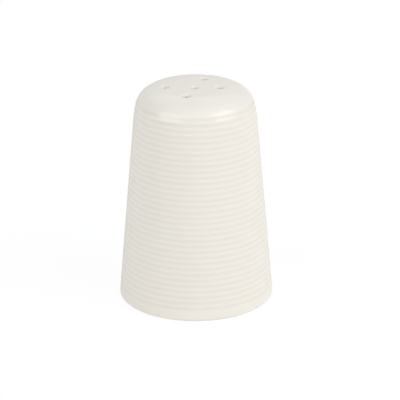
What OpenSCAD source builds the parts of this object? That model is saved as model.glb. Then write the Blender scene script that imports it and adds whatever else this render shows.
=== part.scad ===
// Salt pot: a one-piece ribbed porcelain pot with pouring holes in its crown,
// filled through a hole in its base that a soft moulded stopper closes.
// Millimetres, +Z up, origin on the table under the middle of the pot, front towards -Y.

/* [Body] */
// Height from the table to the top of the crown
pot_h = 80.4; // [72:0.1:90]
// Diameter of the straight side carried down to the table
base_d = 56.7; // [52:0.1:64]
// Lean of the side towards the axis, in degrees
side_lean = 4.9; // [2:0.1:6]
// Radius of the easing curve that leads from the side into the shoulder
ease_r = 60; // [30:1:80]
// Turn of the easing curve, in degrees
ease_turn = 6; // [4:1:10]
// Radius of the shoulder
shoulder_r = 7.5; // [6:0.5:9]
// Radius of the broad blend that leads from the shoulder into the crown
blend_r = 30; // [20:1:40]
// Angle that the outside faces where the blend starts, in degrees above the horizon
blend_from = 75; // [68:1:80]
// Radius of the nearly flat crown
crown_r = 400; // [200:10:800]
// Thickness of the porcelain in the side and the crown
wall_t = 3.6; // [2.8:0.1:4.5]

/* [Ribs] */
// Height of the lowest groove above the table, over a plain band
band_h = 4.65; // [3:0.05:8]
// Drop from the top of the crown to the highest groove
rib_drop = 5.3; // [4.5:0.1:12]
// Distance from groove to groove, before it is rounded to a whole number of ribs
rib_pitch = 2.135; // [1.8:0.005:4]
// Width of a groove at the surface
groove_w = 0.9; // [0.6:0.1:1.4]
// Depth of a groove
groove_depth = 0.2; // [0.1:0.05:0.4]

/* [Pouring holes] */
// Diameter of each pouring hole
hole_d = 2.2; // [1.2:0.1:3]
// Rounding of each hole's lip
hole_lip_r = 0.9; // [0.3:0.1:1]
// Distance from the axis and angle of each hole, punched by hand in an uneven cross
hole_spots = [[0.9, 258], [9, 356.5], [9.3, 69.5], [10.7, 178], [10, 252]];

/* [Foot and filling hole] */
// Rounding of the foot's outer edge
foot_edge_r = 1; // [0.5:0.1:2]
// Width of the flat ring that the pot stands on
foot_w = 3.4; // [2:0.1:5]
// Rounding of the foot's inner edge
foot_inner_r = 0.8; // [0.4:0.1:1.2]
// Depth of the hollow inside the foot
hollow_h = 3.8; // [3.2:0.1:6]
// Slope of the hollow's side, in degrees
hollow_slope = 20; // [5:1:30]
// Fillet round the top of the hollow
hollow_fillet_r = 1.6; // [0.8:0.1:2]
// Thickness of the floor
floor_t = 4; // [3:0.1:6]
// Fillet inside the chamber, round its floor
chamber_fillet_r = 4; // [2:0.5:6]
// Diameter of the filling hole
fill_d = 20; // [16:0.5:24]
// Rounding of the filling hole's two edges
fill_edge_r = 0.8; // [0.4:0.1:1]

/* [Stopper] */
// Gap left between the sealing beads and the filling hole
bead_gap = 0.05; // [0.02:0.01:0.1]
// How far each sealing bead stands out of the plug
bead_h = 0.6; // [0.3:0.1:0.8]
// Distance between the two sealing beads
bead_spacing = 1.4; // [1.2:0.1:2]
// How far the flange reaches past the filling hole
flange_lap = 2.6; // [2:0.1:4]
// Thickness of the flange
flange_t = 1.8; // [1.2:0.1:2.4]
// Rounding of the flange's rim
flange_edge_r = 0.6; // [0.3:0.1:0.6]
// Length of the plug above the flange
plug_h = 9; // [7:0.5:14]
// How far the plug's tip is drawn in
plug_taper = 0.7; // [0.3:0.1:1]
// Thickness of the plug's wall
plug_wall_t = 2; // [1.6:0.1:2.4]
// Rounding of the plug's tip, inside and out
plug_tip_r = 0.6; // [0.3:0.1:0.6]
// Thickness of the web across the plug
web_t = 1.6; // [1:0.1:2]
// Depth of the finger hollow in the stopper's underside
grip_depth = 3; // [2:0.1:3.5]
// Width of the bar that the fingers pinch
grip_w = 2.4; // [1.8:0.1:3]
// Rounding of the bar's lower edges
grip_edge_r = 0.7; // [0.3:0.1:0.8]

/* [Hidden] */
$fn = 128;
porcelain_colour = "#F0ECE1";
stopper_colour = "#E9E6DC";
// Largest turn between two points of an arc, in degrees, on broad and on small rounds
broad_step = 3;
small_step = 15;
// How far a cut runs past the surface that it opens
over = 1;

// Unit direction at an angle
function direction(a) = [cos(a), sin(a)];

// Points of an arc about c, leaving out the first ones that the outline already has
function arc(c, r, from, to, step = small_step, skip = 0) =
    let (n = ceil(abs(to - from) / step))
    [for (i = [skip : n]) c + r * direction(from + (to - from) * i / n)];

// Directions square to the side and up along it, and the side's distance from the origin
side_normal = direction(side_lean);
side_rise = direction(side_lean + 90);
side_reach = base_d / 2 * cos(side_lean);

// The blend touches the crown inside, the shoulder touches the blend inside, and the easing curve
// leads from the shoulder to the side
shoulder_from = side_lean + ease_turn;
crown_c = [0, pot_h - crown_r];
blend_out = side_reach - ease_r + (ease_r - shoulder_r) * cos(ease_turn)
    - (blend_r - shoulder_r) * cos(blend_from - side_lean) - crown_c * side_normal;
blend_up = sqrt(pow(crown_r - blend_r, 2) - pow(blend_out, 2));
blend_c = crown_c + blend_out * side_normal + blend_up * side_rise;
shoulder_c = blend_c + (blend_r - shoulder_r) * direction(blend_from);
ease_c = shoulder_c - (ease_r - shoulder_r) * direction(shoulder_from);
crown_from = atan2(blend_c.y - crown_c.y, blend_c.x);
ease_low_z = ease_c.y + ease_r * sin(side_lean);
shoulder_low_z = shoulder_c.y + shoulder_r * sin(shoulder_from);

// Distance from the axis of the centre of a corner between the side, drawn in, and a flat bottom
function corner_x(inset, z_low, corner_r) =
    (side_reach - inset - corner_r - (z_low + corner_r) * sin(side_lean)) / cos(side_lean);

// Half outline of the body, drawn in by inset, from the middle of its bottom to the top of the crown
function shell(inset, z_low, corner_r) = concat(
    [[0, z_low]],
    arc([corner_x(inset, z_low, corner_r), z_low + corner_r], corner_r, -90, side_lean),
    arc(ease_c, ease_r - inset, side_lean, shoulder_from, broad_step),
    arc(shoulder_c, shoulder_r - inset, shoulder_from, blend_from, broad_step * 2, 1),
    arc(blend_c, blend_r - inset, blend_from, crown_from, broad_step, 1),
    arc(crown_c, crown_r - inset, crown_from, 90, broad_step / 4, 1));

// Angle that the outside faces at a height, and its distance from the axis there
function facing(z) =
    z < ease_low_z ? side_lean
    : z < shoulder_low_z ? asin((z - ease_c.y) / ease_r)
    : asin((z - shoulder_c.y) / shoulder_r);
function reach(z) =
    z < ease_low_z ? (side_reach - z * sin(side_lean)) / cos(side_lean)
    : z < shoulder_low_z ? ease_c.x + ease_r * cos(facing(z))
    : shoulder_c.x + shoulder_r * cos(facing(z));

// Angle that the crown or the blend faces at a distance from the axis, and the height there
crown_end = crown_r * cos(crown_from);
function crown_facing(x) = x < crown_end ? acos(x / crown_r) : acos((x - blend_c.x) / blend_r);
function crown_z(x) =
    x < crown_end ? crown_c.y + crown_r * sin(crown_facing(x)) : blend_c.y + blend_r * sin(crown_facing(x));

// Grooves divide the height between the lowest and the highest one evenly
rib_span = pot_h - rib_drop - band_h;
rib_n = round(rib_span / rib_pitch);

// Heights of the floor, from the hollow under it to the chamber
floor_low_z = hollow_h;
floor_top_z = hollow_h + floor_t;
fill_r = fill_d / 2;

// Half outline of the hollow inside the foot: a round edge, a sloping side and a fillet
foot_inner_c = [corner_x(0, 0, foot_edge_r) - foot_w, foot_inner_r];
hollow_facing = direction(180 + hollow_slope);
hollow_fillet_z = floor_low_z - hollow_fillet_r;
hollow_fillet_x = -(foot_inner_c * hollow_facing + foot_inner_r + hollow_fillet_r
    + hollow_fillet_z * sin(hollow_slope)) / cos(hollow_slope);
hollow_outline = concat(
    [[0, -over], [foot_inner_c.x, -over]],
    arc(foot_inner_c, foot_inner_r, 270, 180 + hollow_slope),
    arc([hollow_fillet_x, hollow_fillet_z], hollow_fillet_r, hollow_slope, 90),
    [[0, floor_low_z]]);

// Half outline of the filling hole, flared by the rounding of its two edges
fill_mouth_r = fill_r + fill_edge_r;
fill_outline = concat(
    [[0, floor_low_z - over], [fill_mouth_r, floor_low_z - over]],
    arc([fill_mouth_r, floor_low_z + fill_edge_r], fill_edge_r, 270, 180),
    arc([fill_mouth_r, floor_top_z - fill_edge_r], fill_edge_r, 180, 90),
    [[fill_mouth_r, floor_top_z + over], [0, floor_top_z + over]]);

// Half outline of a pouring hole below the crown, with a rounded lip that runs out just above it
lip_end_a = 100;
hole_depth = wall_t + over;
lip_c = [hole_d / 2 + hole_lip_r, -hole_lip_r];
lip_end = lip_c + hole_lip_r * direction(lip_end_a) + over * direction(lip_end_a - 90);
hole_outline = concat(
    [[0, -hole_depth], [hole_d / 2, -hole_depth]],
    arc(lip_c, hole_lip_r, 180, lip_end_a),
    [lip_end, [0, lip_end.y]]);

// The stopper's flange seats on the floor's underside, and its beads seal in the filling hole
flange_r = fill_r + flange_lap;
flange_low_z = floor_low_z - flange_t;
plug_r = fill_r - bead_gap - bead_h;
plug_top_z = floor_low_z + plug_h;
bead_mid_z = floor_low_z + floor_t / 2;
plug_bore_r = plug_r - plug_wall_t;
plug_tip_out = plug_r - plug_taper - plug_tip_r;
plug_tip_in = plug_bore_r + plug_tip_r;
taper_low_z = bead_mid_z + bead_spacing / 2 + bead_h;
web_low_z = flange_low_z + grip_depth;
web_top_z = web_low_z + web_t;

// Half outline of the flange, with a rounded rim
flange_outline = concat(
    [[0, flange_low_z]],
    arc([flange_r - flange_edge_r, flange_low_z + flange_edge_r], flange_edge_r, -90, 0),
    arc([flange_r - flange_edge_r, floor_low_z - flange_edge_r], flange_edge_r, 0, 90),
    [[0, floor_low_z]]);

// Half outline of the plug: straight through the floor, then drawn in to a rounded open tip
plug_outline = concat(
    [[0, flange_low_z + flange_edge_r], [plug_r, flange_low_z + flange_edge_r], [plug_r, taper_low_z]],
    arc([plug_tip_out, plug_top_z - plug_tip_r], plug_tip_r, 0, 90),
    arc([plug_tip_in, plug_top_z - plug_tip_r], plug_tip_r, 90, 180),
    [[plug_bore_r, web_top_z], [0, web_top_z]]);

// Outline of the grip bar's cross-section, rounded below
grip_low_z = flange_low_z + grip_edge_r / 2;
grip_x = grip_w / 2 - grip_edge_r;
grip_outline = concat(
    arc([-grip_x, grip_low_z + grip_edge_r], grip_edge_r, 180, 270),
    arc([grip_x, grip_low_z + grip_edge_r], grip_edge_r, 270, 360),
    [[grip_w / 2, web_low_z + web_t / 2], [-grip_w / 2, web_low_z + web_t / 2]]);

// One groove in the half section, a shallow V square to the side or the shoulder at a height
module groove(z) {
    translate([reach(z), z])
        rotate(facing(z))
            polygon([[-groove_depth, 0], [groove_depth, -groove_w], [groove_depth, groove_w]]);
}

// One pouring hole, square to the crown or the blend at its spot
module pouring_hole(spot) {
    rotate(spot[1])
        translate([spot[0], 0, crown_z(spot[0])])
            rotate([0, 90 - crown_facing(spot[0]), 0])
                rotate_extrude() polygon(hole_outline);
}

// The porcelain pot, turned from one half section and then punched
module pot() {
    color(porcelain_colour) difference() {
        rotate_extrude() difference() {
            polygon(shell(0, 0, foot_edge_r));
            polygon(shell(wall_t, floor_top_z, chamber_fillet_r));
            polygon(hollow_outline);
            polygon(fill_outline);
            for (i = [0 : rib_n]) groove(band_h + i * rib_span / rib_n);
        }
        for (spot = hole_spots) pouring_hole(spot);
    }
}

// The stopper, a soft moulding with a hollow plug, two sealing beads and a finger grip
module stopper() {
    color(stopper_colour) {
        rotate_extrude() difference() {
            union() {
                polygon(flange_outline);
                polygon(plug_outline);
                for (side = [-1, 1])
                    translate([plug_r, bead_mid_z + side * bead_spacing / 2]) circle(bead_h);
            }
            translate([0, flange_low_z - over]) square([plug_bore_r, grip_depth + over]);
        }
        rotate([90, 0, 0])
            linear_extrude(height = 2 * plug_bore_r + plug_wall_t, center = true)
                polygon(grip_outline);
    }
}

pot();
stopper();
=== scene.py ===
"""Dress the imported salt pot: ribbed glazed porcelain, five pouring holes and a soft base stopper.

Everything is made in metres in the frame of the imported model, with +Z up along the
pot's axis, -Y towards the photograph's viewer and the table at height zero.
"""

from __future__ import annotations

import logging
import math
from dataclasses import dataclass
from enum import Enum
from functools import cached_property
from typing import Iterable, NamedTuple, Sequence

import bmesh
import bpy
from bmesh.types import BMEdge, BMesh, BMVert
from mathutils import Matrix, Vector

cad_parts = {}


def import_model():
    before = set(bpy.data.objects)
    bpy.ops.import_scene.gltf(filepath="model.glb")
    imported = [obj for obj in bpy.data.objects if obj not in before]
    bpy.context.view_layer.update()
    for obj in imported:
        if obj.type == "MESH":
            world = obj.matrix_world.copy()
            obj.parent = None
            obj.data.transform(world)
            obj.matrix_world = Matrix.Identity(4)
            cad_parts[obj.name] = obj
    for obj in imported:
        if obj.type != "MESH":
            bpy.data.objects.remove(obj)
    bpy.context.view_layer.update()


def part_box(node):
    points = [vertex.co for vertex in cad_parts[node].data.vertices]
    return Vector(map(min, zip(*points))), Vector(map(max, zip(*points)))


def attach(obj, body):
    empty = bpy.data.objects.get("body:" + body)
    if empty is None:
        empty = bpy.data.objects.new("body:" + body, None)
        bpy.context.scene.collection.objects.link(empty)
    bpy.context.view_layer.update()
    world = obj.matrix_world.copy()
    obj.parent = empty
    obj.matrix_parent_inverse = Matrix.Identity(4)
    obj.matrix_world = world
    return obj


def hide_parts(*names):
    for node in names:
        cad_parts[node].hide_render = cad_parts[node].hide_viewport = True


LOG = logging.getLogger("salt_pot")
MM = 0.001
QUARTER = math.pi / 2
WELD = 0.002 * MM
SHARP = math.radians(38)
GROOVE = "groove"
BORE = "bore"
UP = Vector((0.0, 0.0, 1.0))
PHOTO_AIM = Vector((1.55 * MM, 0.0, 36.2 * MM))
BOX_AIM_AHEAD = 17.0 * MM
BOX_AIM_DROP = 3.0 * MM
RGBA = tuple[float, float, float, float]


class Slot(Enum):
    """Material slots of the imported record."""

    PORCELAIN = "porcelain"
    STOPPER = "stopper"


class Coat(Enum):
    """Which of the pot's two finishes a face takes, by its place in the material list."""

    GLAZED = 0
    BARE = 1


class SectionPoint(NamedTuple):
    """A point of a half section.

    It holds the distance from the axis, the height, and the shares of the glaze's darker groove colour,
    pooled glaze with painted shade, and of its paler bore colour, painted light.
    """

    x: float
    z: float
    groove: float = 0.0
    bore: float = 0.0


def direction(angle: float) -> Vector:
    """Unit vector in the half section at an angle from the outward axis, in radians."""
    return Vector((math.cos(angle), math.sin(angle)))


def arc(centre: Vector, radius: float, start: float, stop: float, steps: int) -> list[SectionPoint]:
    """Points of a round stretch of a half section.

    Args:
        centre: Middle of the arc, as distance from the axis and height.
        radius: Radius of the arc.
        start: Angle of the first point, in radians.
        stop: Angle of the last point, in radians.
        steps: Number of straight steps along the arc.

    Returns:
        The points from start to stop, both included.
    """
    turns = (start + (stop - start) * i / steps for i in range(steps + 1))
    return [SectionPoint(*(centre + radius * direction(turn))) for turn in turns]


def turn(bm: BMesh, section: Sequence[SectionPoint], steps: int, axis_at: Vector = Vector()) -> None:
    """Turn a half section into a surface about an upright axis.

    Args:
        bm: Mesh that receives the surface.
        section: Points of the open half section, in order.
        steps: Number of faces round the axis.
        axis_at: Any point of the axis.
    """
    groove = bm.verts.layers.float.get(GROOVE)
    bore = bm.verts.layers.float.get(BORE)
    verts: list[BMVert] = []
    for point in section:
        vert = bm.verts.new((axis_at.x + point.x, axis_at.y, point.z))
        if groove is not None:
            vert[groove] = point.groove
        if bore is not None:
            vert[bore] = point.bore
        verts.append(vert)
    edges = [bm.edges.new(pair) for pair in zip(verts, verts[1:])]
    bmesh.ops.spin(
        bm,
        geom=[*verts, *edges],
        cent=axis_at,
        axis=UP,
        dvec=Vector(),
        angle=math.tau,
        steps=steps,
        use_merge=True,
        use_duplicate=False,
    )


def finished_object(name: str, bm: BMesh, materials: Iterable[bpy.types.Material]) -> bpy.types.Object:
    """Close the doubles of a mesh, face it outwards and put it in the scene.

    Args:
        name: Name of the piece.
        bm: Its mesh, which is freed.
        materials: Finishes in the order of the faces' material numbers.

    Returns:
        The piece, at the origin with its place in its mesh.
    """
    bmesh.ops.remove_doubles(bm, verts=bm.verts, dist=WELD)
    bmesh.ops.recalc_face_normals(bm, faces=bm.faces)
    mesh = bpy.data.meshes.new(name)
    bm.to_mesh(mesh)
    bm.free()
    mesh.shade_smooth()
    mesh.set_sharp_from_angle(angle=SHARP)
    for material in materials:
        mesh.materials.append(material)
    piece = bpy.data.objects.new(name, mesh)
    bpy.context.scene.collection.objects.link(piece)
    return piece


@dataclass
class PotOutline:
    """Half section of the pot, from the crown's rim down the ribs, under the foot and up the chamber.

    The side leans in, runs through an easing curve into the shoulder, and a broad blend leads
    from there into the nearly flat crown.
    """

    height: float
    base_d: float = 56.7 * MM
    side_lean: float = math.radians(4.9)
    ease_r: float = 60 * MM
    ease_turn: float = math.radians(6)
    shoulder_r: float = 7.5 * MM
    blend_r: float = 30 * MM
    blend_from: float = math.radians(75)
    crown_r: float = 400 * MM
    rim_r: float = 13.6 * MM
    wall_t: float = 3.6 * MM
    band_h: float = 4.8 * MM
    rib_drop: float = 5.15 * MM
    ribs: int = 33
    rib_swell: float = 0.6
    rib_steps: int = 14
    groove_depth: float = 0.09 * MM
    top_groove: float = 1.4
    foot_edge_r: float = 1.0 * MM
    foot_w: float = 3.4 * MM
    foot_inner_r: float = 0.8 * MM
    hollow_h: float = 3.8 * MM
    hollow_slope: float = math.radians(20)
    hollow_fillet_r: float = 1.6 * MM
    floor_t: float = 4.0 * MM
    chamber_fillet_r: float = 4.0 * MM
    fill_r: float = 10.0 * MM
    fill_edge_r: float = 0.8 * MM
    blend_steps: int = 6
    shoulder_steps: int = 14
    foot_steps: int = 8
    hollow_steps: int = 6
    chamber_steps: int = 8
    chamber_ease_steps: int = 3
    ceiling_steps: int = 4

    @cached_property
    def side_normal(self) -> Vector:
        """Direction square to the side."""
        return direction(self.side_lean)

    @cached_property
    def side_reach(self) -> float:
        """Distance of the straight side from the origin."""
        return self.base_d / 2 * math.cos(self.side_lean)

    @cached_property
    def crown_c(self) -> Vector:
        """Middle of the crown's curve."""
        return Vector((0.0, self.height - self.crown_r))

    @cached_property
    def shoulder_from(self) -> float:
        """Angle at which the easing curve hands over to the shoulder."""
        return self.side_lean + self.ease_turn

    @cached_property
    def blend_c(self) -> Vector:
        """Middle of the blend, which touches the crown inside."""
        eased = (self.ease_r - self.shoulder_r) * math.cos(self.ease_turn)
        blended = (self.blend_r - self.shoulder_r) * math.cos(self.blend_from - self.side_lean)
        out = self.side_reach - self.ease_r + eased - blended - self.crown_c.dot(self.side_normal)
        rise = math.sqrt((self.crown_r - self.blend_r) ** 2 - out**2)
        return self.crown_c + out * self.side_normal + rise * direction(self.side_lean + QUARTER)

    @cached_property
    def shoulder_c(self) -> Vector:
        """Middle of the shoulder, which touches the blend inside."""
        return self.blend_c + (self.blend_r - self.shoulder_r) * direction(self.blend_from)

    @cached_property
    def ease_c(self) -> Vector:
        """Middle of the easing curve."""
        return self.shoulder_c - (self.ease_r - self.shoulder_r) * direction(self.shoulder_from)

    @cached_property
    def crown_from(self) -> float:
        """Angle at which the blend hands over to the crown."""
        offset = self.blend_c - self.crown_c
        return math.atan2(offset.y, offset.x)

    @cached_property
    def floor_top(self) -> float:
        """Height of the chamber's floor."""
        return self.hollow_h + self.floor_t

    @cached_property
    def rib_pitch(self) -> float:
        """Height from groove to groove."""
        return (self.height - self.rib_drop - self.band_h) / self.ribs

    def facing(self, z: float) -> float:
        """Angle that the outside faces at a height.

        Args:
            z: Height above the table, up to the shoulder.

        Returns:
            The angle above the horizon, in radians.
        """
        if z < self.ease_c.y + self.ease_r * math.sin(self.side_lean):
            return self.side_lean
        if z < self.shoulder_c.y + self.shoulder_r * math.sin(self.shoulder_from):
            return math.asin((z - self.ease_c.y) / self.ease_r)
        return math.asin((z - self.shoulder_c.y) / self.shoulder_r)

    def skin(self, z: float, depth: float) -> SectionPoint:
        """Point of the outside at a height, sunk square to the surface.

        Args:
            z: Height on the smooth outline.
            depth: How far the point is sunk.

        Returns:
            The point, with its share of a groove's depth.
        """
        angle = self.facing(z)
        if angle <= self.side_lean:
            x = (self.side_reach - z * math.sin(angle)) / math.cos(angle)
        elif angle < self.shoulder_from:
            x = self.ease_c.x + self.ease_r * math.cos(angle)
        else:
            x = self.shoulder_c.x + self.shoulder_r * math.cos(angle)
        sunk = Vector((x, z)) - depth * direction(angle)
        # the groove share darkens the glaze later: pooled glaze with painted shade
        return SectionPoint(sunk.x, sunk.y, depth / self.groove_depth)

    def ribbed_side(self) -> list[SectionPoint]:
        """Points down the ribs, each swelling out of a groove and turning in faster below."""
        points: list[SectionPoint] = []
        first = -math.ceil((1 - self.rib_swell) * self.rib_steps)
        last = self.ribs * self.rib_steps + math.ceil(self.rib_swell * self.rib_steps)
        for i in range(first, last + 1):
            below = i / self.rib_steps
            across = below % 1.0
            if across < self.rib_swell:
                wave = math.cos(math.pi * across / self.rib_swell)
            else:
                wave = math.cos(math.pi * (1 - across) / (1 - self.rib_swell))
            z = self.height - self.rib_drop - below * self.rib_pitch
            deepest = self.groove_depth * (self.top_groove if below < self.rib_swell else 1.0)
            points.append(self.skin(z, deepest * (1 + wave) / 2))
        return points

    def corner(self, inset: float, z_low: float, radius: float) -> Vector:
        """Middle of the round corner between the side, drawn in, and a flat bottom.

        Args:
            inset: How far the side is drawn in.
            z_low: Height of the flat bottom.
            radius: Radius of the corner.

        Returns:
            The corner's middle.
        """
        z = z_low + radius
        reach = self.side_reach - inset - radius - z * math.sin(self.side_lean)
        return Vector((reach / math.cos(self.side_lean), z))

    def outside(self) -> list[SectionPoint]:
        """Points from the crown's rim over the shoulder and the ribs to the foot."""
        rim = math.acos((self.rim_r - self.blend_c.x) / self.blend_r)
        top_rib = self.height - self.rib_drop + self.rib_pitch / 2
        blend = arc(self.blend_c, self.blend_r, rim, self.blend_from, self.blend_steps)
        top = self.facing(top_rib)
        shoulder = arc(self.shoulder_c, self.shoulder_r, self.blend_from, top, self.shoulder_steps)
        foot = self.corner(0.0, 0.0, self.foot_edge_r)
        foot_edge = arc(foot, self.foot_edge_r, self.side_lean, -QUARTER, self.foot_steps)
        return [*blend, *shoulder[1:], *self.ribbed_side(), *foot_edge]

    def underside(self) -> list[SectionPoint]:
        """Points from the standing ring through the hollow and the filling hole to the chamber's floor."""
        steps = self.hollow_steps
        inner = Vector((self.corner(0.0, 0.0, self.foot_edge_r).x - self.foot_w, self.foot_inner_r))
        slope = direction(math.pi + self.hollow_slope)
        fillet_z = self.hollow_h - self.hollow_fillet_r
        reach = inner.dot(slope) + self.foot_inner_r + self.hollow_fillet_r
        fillet_x = -(reach + fillet_z * math.sin(self.hollow_slope)) / math.cos(self.hollow_slope)
        fillet = Vector((fillet_x, fillet_z))
        mouth = self.fill_r + self.fill_edge_r
        low = Vector((mouth, self.hollow_h + self.fill_edge_r))
        high = Vector((mouth, self.floor_top - self.fill_edge_r))
        return [
            *arc(inner, self.foot_inner_r, 3 * QUARTER, math.pi + self.hollow_slope, steps),
            *arc(fillet, self.hollow_fillet_r, self.hollow_slope, QUARTER, steps),
            *arc(low, self.fill_edge_r, 3 * QUARTER, math.pi, steps),
            *arc(high, self.fill_edge_r, math.pi, QUARTER, steps),
        ]

    def chamber(self) -> list[SectionPoint]:
        """Points from the chamber's floor up its wall to the ceiling's rim."""
        inset = self.wall_t
        ceiling_r = self.blend_r - inset
        rim = math.acos((self.rim_r - self.blend_c.x) / ceiling_r)
        ease_r = self.ease_r - inset
        shoulder_r = self.shoulder_r - inset
        steps = self.chamber_steps
        corner = self.corner(inset, self.floor_top, self.chamber_fillet_r)
        return [
            *arc(corner, self.chamber_fillet_r, -QUARTER, self.side_lean, steps),
            *arc(self.ease_c, ease_r, self.side_lean, self.shoulder_from, self.chamber_ease_steps),
            *arc(self.shoulder_c, shoulder_r, self.shoulder_from, self.blend_from, steps)[1:],
            *arc(self.blend_c, ceiling_r, self.blend_from, rim, self.ceiling_steps)[1:],
        ]

    def crown_z(self, radius: float) -> float:
        """Height of the crown or of the blend round it.

        Args:
            radius: Distance from the axis, up to the rim.

        Returns:
            The height, in metres.
        """
        if radius < self.crown_r * math.cos(self.crown_from):
            return self.crown_c.y + math.sqrt(self.crown_r**2 - radius**2)
        return self.blend_c.y + math.sqrt(self.blend_r**2 - (radius - self.blend_c.x) ** 2)


class HoleSpot(NamedTuple):
    """Place of a pouring hole: distance from the axis, and degrees from the right towards the back."""

    distance: float
    angle: float

    def place(self) -> Vector:
        """The spot as a point over the table."""
        turned = direction(math.radians(self.angle)) * self.distance
        return turned.to_3d()


@dataclass
class PorcelainPot:
    """The pot: one turned and ribbed porcelain shell with five punched pouring holes."""

    outline: PotOutline
    steps: int = 144
    hole_steps: int = 32
    lip_steps: int = 7
    lip_thin: int = 2
    # share of the darker groove colour on the hole lips: pooled glaze with painted shade that dims them
    lip_pool_and_shade: float = 0.5
    crown_cuts: int = 3
    rim_margin: float = 0.01 * MM
    near: float = 0.001 * MM
    hole_r: float = 1.1 * MM
    hole_lip_r: float = 0.9 * MM
    bare_h: float = 0.3 * MM
    spots: tuple[HoleSpot, ...] = (
        HoleSpot(0.9 * MM, 258.0),
        HoleSpot(9.0 * MM, 356.5),
        HoleSpot(9.3 * MM, 69.5),
        HoleSpot(10.7 * MM, 178.0),
        HoleSpot(10.0 * MM, 252.0),
    )

    def build(self, glaze: bpy.types.Material, biscuit: bpy.types.Material) -> bpy.types.Object:
        """Model the pot and dress it.

        Args:
            glaze: Finish of the glazed faces.
            biscuit: Finish of the standing ring.

        Returns:
            The finished pot.
        """
        bm = bmesh.new()
        bm.verts.layers.float.new(GROOVE)
        bm.verts.layers.float.new(BORE)
        outline = self.outline
        section = [*outline.outside(), *outline.underside(), *outline.chamber()]
        turn(bm, section, self.steps)
        self._punch(bm, section[0].z, section[-1].z)
        self._fill(bm, section[0].z)
        self._fill(bm, section[-1].z)
        self._raise_crown(bm)
        for face in bm.faces:
            bare = max(vert.co.z for vert in face.verts) < self.bare_h
            face.material_index = Coat.BARE.value if bare else Coat.GLAZED.value
        return finished_object("porcelain_pot", bm, (glaze, biscuit))

    def _punch(self, bm: BMesh, crown_z: float, ceiling_z: float) -> None:
        """Turn the lip and bore of each pouring hole between the flat crown and the flat ceiling.

        The lip takes some of the darker groove colour, pooled glaze with painted shade that dims it, and
        the bore takes the paler bore colour, painted light in its shaded hollow.

        Args:
            bm: Mesh of the pot.
            crown_z: Height of the crown's rim.
            ceiling_z: Height of the ceiling's rim.
        """
        lip = Vector((self.hole_r + self.hole_lip_r, crown_z - self.hole_lip_r))
        bend = arc(lip, self.hole_lip_r, QUARTER, math.pi, self.lip_steps)
        # the lip takes the darker groove colour: pooled glaze with painted shade
        pooled_and_shaded = [point._replace(groove=self.lip_pool_and_shade) for point in bend[self.lip_thin : -1]]
        # the bore points take the paler bore colour: painted light
        bore = [SectionPoint(self.hole_r, z, bore=1.0) for z in (bend[-1].z, ceiling_z)]
        section = [*bend[: self.lip_thin], *pooled_and_shaded, *bore]
        for spot in self.spots:
            turn(bm, section, self.hole_steps, spot.place())

    def _fill(self, bm: BMesh, z: float) -> None:
        """Fill the disc between a rim and the holes at a height with fine triangles.

        Args:
            bm: Mesh of the pot.
            z: Height of the rim.
        """
        edges = [
            edge
            for edge in bm.edges
            if edge.is_boundary and all(abs(vert.co.z - z) < self.near for vert in edge.verts)
        ]
        made = bmesh.ops.triangle_fill(bm, edges=edges, use_beauty=True, use_dissolve=False, normal=UP)
        spokes = [part for part in made["geom"] if isinstance(part, BMEdge)]
        bmesh.ops.subdivide_edges(bm, edges=spokes, cuts=self.crown_cuts, use_grid_fill=True)

    def _raise_crown(self, bm: BMesh) -> None:
        """Round the flat crown, its holes and the ceiling under it up to the crown's curve."""
        outline = self.outline
        rim_z = outline.crown_z(outline.rim_r)
        inside = outline.rim_r - self.rim_margin
        low = outline.height - 2 * outline.wall_t
        for vert in bm.verts:
            radius = vert.co.xy.length
            if vert.co.z > low and radius < inside:
                vert.co.z += outline.crown_z(radius) - rim_z


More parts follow.
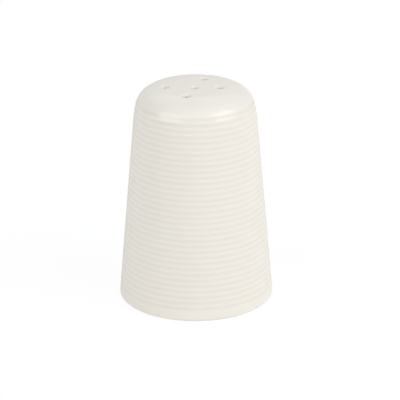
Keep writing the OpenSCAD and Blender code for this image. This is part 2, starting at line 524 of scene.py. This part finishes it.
@dataclass
class BaseStopper:
    """The stopper: a soft moulding with a flange, a hollow plug, two sealing beads and a finger bar."""

    seat_z: float = 3.8 * MM
    fill_r: float = 10.0 * MM
    bead_gap: float = 0.05 * MM
    bead_h: float = 0.6 * MM
    bead_heights: tuple[float, float] = (5.1 * MM, 6.5 * MM)
    flange_r: float = 12.6 * MM
    flange_t: float = 1.8 * MM
    edge_r: float = 0.6 * MM
    plug_top: float = 12.8 * MM
    plug_taper: float = 0.7 * MM
    plug_wall: float = 2.0 * MM
    web_low: float = 5.0 * MM
    web_t: float = 1.6 * MM
    hollow_fillet_r: float = 0.5 * MM
    grip_w: float = 2.4 * MM
    grip_edge_r: float = 0.7 * MM
    steps: int = 96
    edge_steps: int = 6
    fillet_steps: int = 4
    bead_steps: int = 8
    grip_steps: int = 5

    @property
    def plug_r(self) -> float:
        """Radius of the plug between its beads."""
        return self.fill_r - self.bead_gap - self.bead_h

    @property
    def bore_r(self) -> float:
        """Radius of the plug's hollow and of the finger hollow under it."""
        return self.plug_r - self.plug_wall

    @property
    def low(self) -> float:
        """Height of the flange's underside."""
        return self.seat_z - self.flange_t

    def section(self) -> list[SectionPoint]:
        """Half section, from the middle of the web's underside round to the middle of its top."""
        edge, edge_steps = self.edge_r, self.edge_steps
        fillet, fillet_steps = self.hollow_fillet_r, self.fillet_steps
        rim_x = self.flange_r - edge
        tip_x = self.plug_r - self.plug_taper - edge
        tip_z = self.plug_top - edge
        web_top = self.web_low + self.web_t
        points = [SectionPoint(0.0, self.web_low)]
        ceiling = Vector((self.bore_r - fillet, self.web_low - fillet))
        points += arc(ceiling, fillet, QUARTER, 0.0, fillet_steps)
        mouth = Vector((self.bore_r + fillet, self.low + fillet))
        points += arc(mouth, fillet, math.pi, 3 * QUARTER, fillet_steps)
        points += arc(Vector((rim_x, self.low + edge)), edge, -QUARTER, 0.0, edge_steps)
        points += arc(Vector((rim_x, self.seat_z - edge)), edge, 0.0, QUARTER, edge_steps)
        points.append(SectionPoint(self.plug_r, self.seat_z))
        for height in self.bead_heights:
            points += arc(Vector((self.plug_r, height)), self.bead_h, -QUARTER, QUARTER, self.bead_steps)
        points += arc(Vector((tip_x, tip_z)), edge, 0.0, QUARTER, edge_steps)
        points += arc(Vector((self.bore_r + edge, tip_z)), edge, QUARTER, math.pi, edge_steps)
        points += arc(Vector((self.bore_r - fillet, web_top + fillet)), fillet, 0.0, -QUARTER, fillet_steps)
        points.append(SectionPoint(0.0, web_top))
        return points

    def build(self, moulding: bpy.types.Material) -> bpy.types.Object:
        """Model the stopper and dress it.

        Args:
            moulding: Finish of the soft moulding.

        Returns:
            The finished stopper.
        """
        bm = bmesh.new()
        turn(bm, self.section(), self.steps)
        body = finished_object("base_stopper", bm, (moulding,))
        bar = finished_object("finger_bar", self._finger_bar(), (moulding,))
        self._weld(body, bar)
        return body

    def _finger_bar(self) -> BMesh:
        """Bar across the finger hollow, rounded below, with its ends and top inside the moulding."""
        length = 2 * self.bore_r + self.plug_wall
        low = self.low + self.grip_edge_r / 2
        high = self.web_low + self.web_t / 2
        bm = bmesh.new()
        bmesh.ops.create_cube(bm, size=1.0)
        bmesh.ops.scale(bm, vec=(self.grip_w, length, high - low), verts=bm.verts)
        bmesh.ops.translate(bm, vec=(0.0, 0.0, (high + low) / 2), verts=bm.verts)
        lower = [
            edge
            for edge in bm.edges
            if all(vert.co.z < self.web_low for vert in edge.verts)
            and abs(edge.verts[0].co.y - edge.verts[1].co.y) > length / 2
        ]
        bmesh.ops.bevel(
            bm,
            geom=lower,
            offset=self.grip_edge_r,
            offset_type="OFFSET",
            affect="EDGES",
            segments=self.grip_steps,
            profile=0.5,
            material=-1,
        )
        return bm

    @staticmethod
    def _weld(body: bpy.types.Object, bar: bpy.types.Object) -> None:
        """Join the bar to the body as one closed skin.

        Args:
            body: Turned moulding, which keeps the result.
            bar: Finger bar, which is removed.
        """
        union = body.modifiers.new("finger_bar", "BOOLEAN")
        union.operation = "UNION"
        union.solver = "EXACT"
        union.object = bar
        view = bpy.context.evaluated_depsgraph_get()
        joined = bpy.data.meshes.new_from_object(body.evaluated_get(view))
        body.modifiers.clear()
        body.data = joined
        bpy.data.objects.remove(bar)


class ShaderTree:
    """Small helper that adds and links shader nodes.

    The mix nodes' sockets are taken by their places, because several of them share a name.
    """

    COLOUR_INPUTS = (0, 6, 7)
    COLOUR_OUTPUT = 2
    SHADER_INPUTS = (1, 2)

    def __init__(self, tree: bpy.types.NodeTree) -> None:
        """Start from an empty tree.

        Args:
            tree: Node tree of a material, a world or a group.
        """
        self.tree = tree
        tree.nodes.clear()

    def add(self, kind: str, **inputs: object) -> bpy.types.Node:
        """Add a node and set its inputs.

        Args:
            kind: Blender's name of the node's type.
            **inputs: Values, or sockets to link, by input name with spaces written as underscores.

        Returns:
            The new node.
        """
        node = self.tree.nodes.new(kind)
        for name, value in inputs.items():
            self.feed(node.inputs[name.replace("_", " ")], value)
        return node

    def feed(self, socket: bpy.types.NodeSocket, value: object) -> None:
        """Link a socket to another one, or set its value.

        Args:
            socket: Input to feed.
            value: Output socket or plain value.
        """
        if isinstance(value, bpy.types.NodeSocket):
            self.tree.links.new(value, socket)
        else:
            socket.default_value = value

    def math(self, operation: str, *values: object) -> bpy.types.NodeSocket:
        """Result of a Math node.

        Args:
            operation: Blender's name of the operation.
            *values: Numbers or sockets in the order of the node's inputs.

        Returns:
            The result's socket.
        """
        node = self.tree.nodes.new("ShaderNodeMath")
        node.operation = operation
        for socket, value in zip(node.inputs, values):
            self.feed(socket, value)
        return node.outputs["Value"]

    def attribute(self, name: str) -> bpy.types.NodeSocket:
        """Value of a mesh attribute.

        Args:
            name: Name of the attribute.

        Returns:
            The value's socket.
        """
        node = self.tree.nodes.new("ShaderNodeAttribute")
        node.attribute_name = name
        return node.outputs["Fac"]

    def mix_colour(self, factor: object, first: object, second: object) -> bpy.types.NodeSocket:
        """Blend of two colours.

        Args:
            factor: Share of the second colour.
            first: First colour or socket.
            second: Second colour or socket.

        Returns:
            The blended colour's socket.
        """
        node = self.tree.nodes.new("ShaderNodeMix")
        node.data_type = "RGBA"
        for place, value in zip(self.COLOUR_INPUTS, (factor, first, second)):
            self.feed(node.inputs[place], value)
        return node.outputs[self.COLOUR_OUTPUT]

    def mix_shader(
        self, share: object, first: bpy.types.NodeSocket, second: bpy.types.NodeSocket
    ) -> bpy.types.NodeSocket:
        """Blend of two shaders.

        Args:
            share: Share of the second shader.
            first: First shader.
            second: Second shader.

        Returns:
            The blended shader's socket.
        """
        node = self.add("ShaderNodeMixShader", Fac=share)
        for place, shader in zip(self.SHADER_INPUTS, (first, second)):
            self.feed(node.inputs[place], shader)
        return node.outputs["Shader"]

    def remap(
        self, value: object, low: float, high: float, start: float = 0.0, stop: float = 1.0
    ) -> bpy.types.NodeSocket:
        """Value stretched over a range, and held at its ends.

        Args:
            value: Socket to stretch.
            low: Result at the start.
            high: Result at the stop.
            start: Value that gives the low result.
            stop: Value that gives the high result.

        Returns:
            The stretched value's socket.
        """
        limits = {"From_Min": start, "From_Max": stop, "To_Min": low, "To_Max": high}
        node = self.add("ShaderNodeMapRange", Value=value, **limits)
        return node.outputs["Result"]


class FiredUnevenness:
    """Shared group: slow clouds for tone and fine grain for relief, fixed to the piece."""

    NAME = "fired_unevenness"
    CLOUD_DETAIL = 3.0
    GRAIN_DETAIL = 2.0

    @classmethod
    def group(cls) -> bpy.types.NodeTree:
        """The group, built on its first use.

        Returns:
            The node group with the outputs Clouds and Grain.
        """
        known = bpy.data.node_groups.get(cls.NAME)
        if known is not None:
            return known
        group = bpy.data.node_groups.new(cls.NAME, "ShaderNodeTree")
        for name in ("Cloud Scale", "Grain Scale"):
            group.interface.new_socket(name, in_out="INPUT", socket_type="NodeSocketFloat")
        for name in ("Clouds", "Grain"):
            group.interface.new_socket(name, in_out="OUTPUT", socket_type="NodeSocketFloat")
        tree = ShaderTree(group)
        given = tree.add("NodeGroupInput")
        place = tree.add("ShaderNodeTexCoord").outputs["Object"]
        slow, fine = given.outputs["Cloud Scale"], given.outputs["Grain Scale"]
        clouds = tree.add("ShaderNodeTexNoise", Vector=place, Scale=slow, Detail=cls.CLOUD_DETAIL)
        grain = tree.add("ShaderNodeTexNoise", Vector=place, Scale=fine, Detail=cls.GRAIN_DETAIL)
        tree.add("NodeGroupOutput", Clouds=clouds.outputs["Fac"], Grain=grain.outputs["Fac"])
        return group

    @classmethod
    def place_in(cls, tree: ShaderTree, cloud_scale: float, grain_scale: float) -> bpy.types.Node:
        """Place the group in a material.

        Args:
            tree: Tree of the material.
            cloud_scale: Clouds in a metre.
            grain_scale: Grains in a metre.

        Returns:
            The group's node.
        """
        node = tree.tree.nodes.new("ShaderNodeGroup")
        node.node_tree = cls.group()
        node.inputs["Cloud Scale"].default_value = cloud_scale
        node.inputs["Grain Scale"].default_value = grain_scale
        return node


def new_material(name: str) -> tuple[bpy.types.Material, ShaderTree]:
    """Make an empty node material.

    Args:
        name: Name of the material.

    Returns:
        The material and its tree.
    """
    material = bpy.data.materials.new(name)
    material.use_nodes = True
    return material, ShaderTree(material.node_tree)


@dataclass(frozen=True)
class GlossGlaze:
    """Clear warm glaze, darker in the grooves as pooled glaze with painted shade, painted paler in the
    bores as painted light, and rippled.

    Seen edge-on it dulls, because the photograph's rims are darker than mirrored white would be.
    """

    thin: RGBA = (0.845, 0.795, 0.713, 1.0)
    # darker colour of grooves and lips: pooled glaze with painted shade
    pooled_and_shaded: RGBA = (0.785, 0.738, 0.65, 1.0)
    tone: RGBA = (0.815, 0.76, 0.675, 1.0)
    # painted light: a paler colour that lightens the shaded bores of the holes
    bore: RGBA = (0.96, 0.895, 0.79, 1.0)
    tone_share: float = 0.3
    gloss_low: float = 0.05
    gloss_high: float = 0.08
    facing_blend: float = 0.5
    dull: float = 0.88
    dull_from: float = 0.6
    dull_to: float = 0.9
    ior: float = 1.62
    clouds: float = 90.0
    ripple: float = 420.0
    ripple_h: float = 0.02 * MM

    def material(self) -> bpy.types.Material:
        """Build the glaze.

        Returns:
            The material.
        """
        material, tree = new_material("gloss_glaze")
        uneven = FiredUnevenness.place_in(tree, self.clouds, self.ripple)
        groove = tree.attribute(GROOVE)
        share = tree.remap(uneven.outputs["Clouds"], 0.0, self.tone_share)
        body = tree.mix_colour(share, self.thin, self.tone)
        # painted shade with pooled glaze: the grooves darken the colour
        colour = tree.mix_colour(groove, body, self.pooled_and_shaded)
        # painted light: the bores are painted paler to lighten their shade
        colour = tree.mix_colour(tree.attribute(BORE), colour, self.bore)
        gloss = tree.remap(uneven.outputs["Clouds"], self.gloss_low, self.gloss_high)
        relief = tree.add("ShaderNodeBump", Height=uneven.outputs["Grain"], Distance=self.ripple_h)
        shader = tree.add(
            "ShaderNodeBsdfPrincipled",
            Base_Color=colour,
            Roughness=gloss,
            Normal=relief.outputs["Normal"],
            IOR=self.ior,
        )
        # the edge-on colour darkens in the grooves too: pooled glaze with painted shade
        edge = tree.mix_colour(groove, self.thin, self.pooled_and_shaded)
        matt = tree.add("ShaderNodeBsdfDiffuse", Color=edge, Normal=relief.outputs["Normal"])
        facing = tree.add("ShaderNodeLayerWeight", Blend=self.facing_blend).outputs["Facing"]
        edge_on = tree.remap(facing, 0.0, self.dull, self.dull_from, self.dull_to)
        seen = tree.mix_shader(edge_on, shader.outputs["BSDF"], matt.outputs["BSDF"])
        tree.add("ShaderNodeOutputMaterial", Surface=seen)
        return material


@dataclass(frozen=True)
class BareBiscuit:
    """Unglazed porcelain of the standing ring, dry and faintly grainy."""

    light: RGBA = (0.78, 0.745, 0.67, 1.0)
    dark: RGBA = (0.66, 0.62, 0.54, 1.0)
    rough_low: float = 0.75
    rough_high: float = 0.95
    clouds: float = 260.0
    grain: float = 4200.0
    grain_h: float = 0.03 * MM

    def material(self) -> bpy.types.Material:
        """Build the biscuit.

        Returns:
            The material.
        """
        material, tree = new_material("bare_biscuit")
        uneven = FiredUnevenness.place_in(tree, self.clouds, self.grain)
        speck = tree.math("MULTIPLY", uneven.outputs["Clouds"], uneven.outputs["Grain"])
        relief = tree.add("ShaderNodeBump", Height=uneven.outputs["Grain"], Distance=self.grain_h)
        shader = tree.add(
            "ShaderNodeBsdfPrincipled",
            Base_Color=tree.mix_colour(speck, self.light, self.dark),
            Roughness=tree.remap(uneven.outputs["Grain"], self.rough_low, self.rough_high),
            Normal=relief.outputs["Normal"],
        )
        tree.add("ShaderNodeOutputMaterial", Surface=shader.outputs["BSDF"])
        return material


@dataclass(frozen=True)
class SoftMoulding:
    """Satin off-white rubber with a fine sparked mould texture."""

    light: RGBA = (0.78, 0.76, 0.70, 1.0)
    dark: RGBA = (0.70, 0.675, 0.61, 1.0)
    rough_low: float = 0.42
    rough_high: float = 0.58
    clouds: float = 160.0
    grain: float = 3600.0
    grain_h: float = 0.015 * MM

    def material(self) -> bpy.types.Material:
        """Build the moulding.

        Returns:
            The material.
        """
        material, tree = new_material("soft_moulding")
        uneven = FiredUnevenness.place_in(tree, self.clouds, self.grain)
        relief = tree.add("ShaderNodeBump", Height=uneven.outputs["Grain"], Distance=self.grain_h)
        shader = tree.add(
            "ShaderNodeBsdfPrincipled",
            Base_Color=tree.mix_colour(uneven.outputs["Clouds"], self.light, self.dark),
            Roughness=tree.remap(uneven.outputs["Grain"], self.rough_low, self.rough_high),
            Normal=relief.outputs["Normal"],
        )
        tree.add("ShaderNodeOutputMaterial", Surface=shader.outputs["BSDF"])
        return material


@dataclass(frozen=True)
class SoftBox:
    """A broad studio lamp that looks at the pot, with its spans given as angles seen from there."""

    name: str
    azimuth: float
    elevation: float
    span: float
    rise: float
    distance: float
    radiance: float
    colour: tuple[float, float, float]
    mirrored: bool = True

    def hang(self, aim: Vector) -> bpy.types.Object:
        """Hang the lamp.

        Args:
            aim: Point that it looks at.

        Returns:
            The lamp.
        """
        lamp = bpy.data.lights.new(self.name, "AREA")
        lamp.shape = "RECTANGLE"
        lamp.size = 2 * self.distance * math.tan(math.radians(self.span) / 2)
        lamp.size_y = 2 * self.distance * math.tan(math.radians(self.rise) / 2)
        lamp.color = self.colour
        lamp.energy = self.radiance * math.pi * lamp.size * lamp.size_y
        box = bpy.data.objects.new(self.name, lamp)
        towards = view_direction(self.azimuth, self.elevation)
        box.location = aim + self.distance * towards
        box.rotation_euler = towards.to_track_quat("Z", "Y").to_euler()
        box.visible_camera = False
        box.visible_glossy = self.mirrored
        bpy.context.scene.collection.objects.link(box)
        return box


def view_direction(azimuth: float, elevation: float) -> Vector:
    """Unit vector from the pot towards a place round it.

    Args:
        azimuth: Degrees to the right of the front.
        elevation: Degrees above the horizon.

    Returns:
        The direction.
    """
    around, above = math.radians(azimuth), math.radians(elevation)
    flat = Vector((math.sin(around), -math.cos(around), 0.0))
    return math.cos(above) * flat + math.sin(above) * UP


@dataclass(frozen=True)
class Studio:
    """White floor and surroundings with a soft box on each side, a weak one overhead and plain fills.

    The glaze mirrors the boxes and not the fills, which only lift the low right side and the back.
    """

    aim: Vector
    floor_size: float = 1.5
    floor_colour: RGBA = (0.9, 0.9, 0.9, 1.0)
    white: RGBA = (1.0, 1.0, 1.0, 1.0)
    white_share: float = 0.85
    white_strength: float = 1.04
    world_strength: float = 1.0
    ambient: RGBA = (1.0, 1.0, 1.0, 1.0)
    ambient_low: float = 0.815
    ambient_high: float = 0.19
    ambient_under: float = 0.5
    horizon: float = 0.02
    ambient_behind: float = 0.52
    ambient_before: float = 1.48
    boxes: tuple[SoftBox, ...] = (
        SoftBox("right_box", 66.75, 37.25, 40.5, 32.5, 1.0, 1.75, (0.97, 1.0, 1.04)),
        SoftBox("right_skirt", 66.75, 15.25, 40.5, 11.5, 1.0, 2.4, (0.97, 1.0, 1.04), mirrored=False),
        SoftBox("left_box", -53.5, 29.75, 45.0, 40.5, 1.0, 1.5, (0.97, 1.0, 1.04)),
        SoftBox("top_box", 180.0, 88.0, 80.0, 120.0, 1.0, 0.3, (0.9, 1.0, 1.1)),
        SoftBox("back_fill", 188.0, 25.0, 50.0, 40.0, 1.0, 0.8, (1.0, 1.0, 1.0), mirrored=False),
    )

    def set_up(self) -> None:
        """Lay the floor, hang the lamps and light the surroundings."""
        self._floor()
        for box in self.boxes:
            box.hang(self.aim)
        self._surroundings()

    @staticmethod
    def _shows_white(tree: ShaderTree) -> bpy.types.NodeSocket:
        """Mask of the rays that see the plain white studio.

        Args:
            tree: Tree of the floor or the world.

        Returns:
            One for camera, glossy and transmission rays, else nought.
        """
        path = tree.add("ShaderNodeLightPath").outputs
        seen = tree.math("MAXIMUM", path["Is Camera Ray"], path["Is Glossy Ray"])
        return tree.math("MAXIMUM", seen, path["Is Transmission Ray"])

    def _floor(self) -> bpy.types.Object:
        """White floor that keeps a faint shadow and can be seen through from below.

        Returns:
            The floor.
        """
        material, tree = new_material("white_floor")
        share = tree.math("MULTIPLY", self._shows_white(tree), self.white_share)
        lit = tree.add("ShaderNodeBsdfDiffuse", Color=self.floor_colour)
        white = tree.add("ShaderNodeEmission", Color=self.white, Strength=self.white_strength)
        top = tree.mix_shader(share, lit.outputs["BSDF"], white.outputs["Emission"])
        clear = tree.add("ShaderNodeBsdfTransparent")
        below = tree.add("ShaderNodeNewGeometry").outputs["Backfacing"]
        both = tree.mix_shader(below, top, clear.outputs["BSDF"])
        tree.add("ShaderNodeOutputMaterial", Surface=both)
        bm = bmesh.new()
        bmesh.ops.create_grid(bm, x_segments=1, y_segments=1, size=self.floor_size / 2)
        return finished_object("floor", bm, (material,))

    def _surroundings(self) -> None:
        """Plain white world whose light is strongest at the right of the front.

        It is weaker overhead, and below the horizon, where it stands for the floor beyond its edge.
        """
        half = 0.5
        world = bpy.data.worlds.new("studio")
        world.use_nodes = True
        tree = ShaderTree(world.node_tree)
        looking = tree.add("ShaderNodeTexCoord").outputs["Generated"]
        towards = tree.add("ShaderNodeSeparateXYZ", Vector=looking).outputs
        level = tree.remap(towards["Z"], self.ambient_low, self.ambient_high)
        under = tree.remap(towards["Z"], self.ambient_under, 1.0, -self.horizon, 0.0)
        level = tree.math("MULTIPLY", level, under)
        across = tree.math("SUBTRACT", towards["X"], towards["Y"])
        before = tree.math("MULTIPLY_ADD", across, half / math.sqrt(2), half)
        side = tree.remap(before, self.ambient_behind, self.ambient_before)
        level = tree.math("MULTIPLY", level, side)
        light = tree.add("ShaderNodeBackground", Color=self.ambient, Strength=level)
        white = tree.add("ShaderNodeBackground", Color=self.white, Strength=self.world_strength)
        shown = self._shows_white(tree)
        mixed = tree.mix_shader(shown, light.outputs["Background"], white.outputs["Background"])
        tree.add("ShaderNodeOutputWorld", Surface=mixed)
        bpy.context.scene.world = world


@dataclass(frozen=True)
class PhotoCamera:
    """Long lens a little above the pot, turned by the photograph's slight lean."""

    aim: Vector
    elevation: float = 22.0
    distance: float = 1.0
    lens: float = 245.3
    sensor: float = 36.0
    lean: float = -0.3

    def set_up(self) -> bpy.types.Object:
        """Make the camera and give it to the scene.

        Returns:
            The camera.
        """
        data = bpy.data.cameras.new("photo_camera")
        data.lens = self.lens
        data.sensor_width = self.sensor
        camera = bpy.data.objects.new("photo_camera", data)
        towards = view_direction(0.0, self.elevation)
        level = towards.to_track_quat("Z", "Y").to_matrix().to_4x4()
        lean = Matrix.Rotation(math.radians(self.lean), 4, "Z")
        camera.matrix_world = Matrix.Translation(self.aim + self.distance * towards) @ level @ lean
        bpy.context.scene.collection.objects.link(camera)
        bpy.context.scene.camera = camera
        return camera


def main() -> None:
    """Build the pot, the stopper, the studio and the camera."""
    logging.basicConfig(level=logging.INFO, format="%(name)s: %(message)s")
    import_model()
    bpy.context.scene.view_settings.view_transform = "Standard"

    _, pot_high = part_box("pot")
    PhotoCamera(aim=PHOTO_AIM).set_up()
    Studio(aim=Vector((0.0, -BOX_AIM_AHEAD, pot_high.z - BOX_AIM_DROP))).set_up()

    outline = PotOutline(height=round(pot_high.z / MM, 1) * MM)
    pot = PorcelainPot(outline).build(GlossGlaze().material(), BareBiscuit().material())
    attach(pot, "pot")
    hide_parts("pot")
    LOG.info("%s has %d faces", pot.name, len(pot.data.polygons))

    stopper = BaseStopper().build(SoftMoulding().material())
    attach(stopper, "stopper")
    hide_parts("stopper")
    LOG.info("%s has %d faces", stopper.name, len(stopper.data.polygons))


if __name__ == "__main__":
    main()
